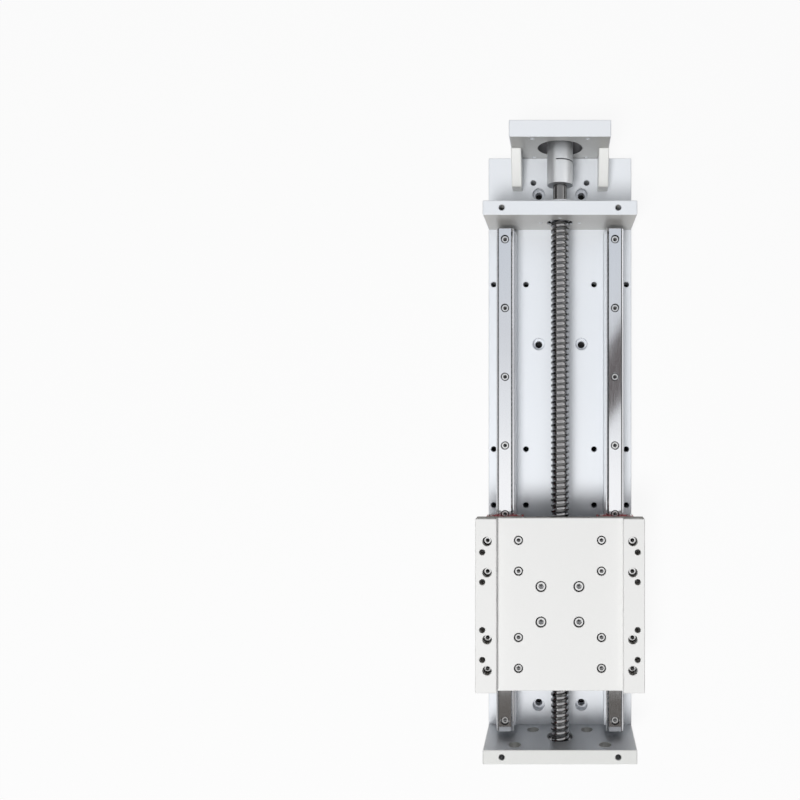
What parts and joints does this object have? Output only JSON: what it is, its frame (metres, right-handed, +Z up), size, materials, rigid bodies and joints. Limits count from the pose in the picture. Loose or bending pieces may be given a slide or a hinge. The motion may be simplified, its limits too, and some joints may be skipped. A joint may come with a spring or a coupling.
{
  "type": "ball screw slide table",
  "caption": "Linear slide: a table on four rail carriages, driven along an aluminium base by a ball screw between two end plates, with a motor plate and shaft coupling at one end.",
  "frame": {"origin": "underside of the base, on its centre line and midway between the two end plates", "axes": "+X across, +Y along the screw towards the motor plate, +Z up; the table is stored 103 mm from the middle towards the idle end, as in the picture"},
  "size_m": [0.142, 0.5415, 0.073],
  "materials": {
    "anodised_aluminium": "clear anodised, fine satin",
    "table_aluminium": "clear anodised, fine satin",
    "rail_steel": "ground and polished rail steel",
    "carriage_steel": "ground steel",
    "screw_steel": "rolled and polished screw steel",
    "bearing_steel": "polished bearing steel",
    "fastener_steel": "bright plated steel",
    "spring_steel": "dark spring steel",
    "coupling_aluminium": "turned aluminium",
    "seal_rubber": "dark red moulded seal",
    "cap_plastic": "black moulded plastic",
    "wiper_plastic": "pale moulded plastic"
  },
  "bodies": {
    "base": {"base_plate": "anodised_aluminium", "bearing_balls": "bearing_steel", "bearing_cover": "anodised_aluminium", "bearing_cover_screws": "fastener_steel", "drive_bearing_outer_ring": "bearing_steel", "drive_end_plate": "anodised_aluminium", "drive_plate_screws": "fastener_steel", "gusset_base_screws": "fastener_steel", "gusset_plate_screws": "fastener_steel", "housing_circlip": "spring_steel", "idle_bearing_outer_ring": "bearing_steel", "idle_end_plate": "anodised_aluminium", "idle_plate_screws": "fastener_steel", "motor_gusset_left": "anodised_aluminium", "motor_gusset_right": "anodised_aluminium", "motor_plate": "anodised_aluminium", "motor_plate_screws": "fastener_steel", "rail_left": "rail_steel", "rail_right": "rail_steel", "rail_riser_left": "anodised_aluminium", "rail_riser_right": "anodised_aluminium", "rail_screws_left": "fastener_steel", "rail_screws_right": "fastener_steel", "riser_screws": "fastener_steel"},
    "screw": {"ball_screw": "screw_steel", "drive_bearing_inner_ring": "bearing_steel", "idle_bearing_inner_ring": "bearing_steel", "lock_nut": "bearing_steel", "shaft_circlip": "spring_steel", "shaft_coupling": "coupling_aluminium", "grip_screws": "fastener_steel"},
    "table": {"ball_nut": "screw_steel", "carriage_drive_left": "carriage_steel", "carriage_drive_right": "carriage_steel", "carriage_idle_left": "carriage_steel", "carriage_idle_right": "carriage_steel", "carriage_screws_inner": "fastener_steel", "carriage_screws_outer": "fastener_steel", "end_caps_drive_left": "cap_plastic", "end_caps_drive_right": "cap_plastic", "end_caps_idle_left": "cap_plastic", "end_caps_idle_right": "cap_plastic", "end_seals_drive_left": "seal_rubber", "end_seals_drive_right": "seal_rubber", "end_seals_idle_left": "seal_rubber", "end_seals_idle_right": "seal_rubber", "nut_bracket": "anodised_aluminium", "nut_bracket_screws": "fastener_steel", "nut_flange_screws": "fastener_steel", "nut_wiper_back": "wiper_plastic", "nut_wiper_front": "wiper_plastic", "seal_screws_back": "fastener_steel", "seal_screws_front": "fastener_steel", "table_plate": "table_aluminium"}
  },
  "joints": [
    {"name": "table_slide", "type": "slide", "parent": "base", "child": "table", "axis": [0, 1, 0], "range_m": [-0.044, 0.25]},
    {"name": "screw_spin", "type": "hinge", "parent": "base", "child": "screw", "pos_m": [0, 0, 0.041], "axis": [0, 1, 0], "continuous": true}
  ],
  "couplings": [
    {"joint": "screw_spin", "follows": "table_slide", "rad_per_m": -1256.6}
  ]
}
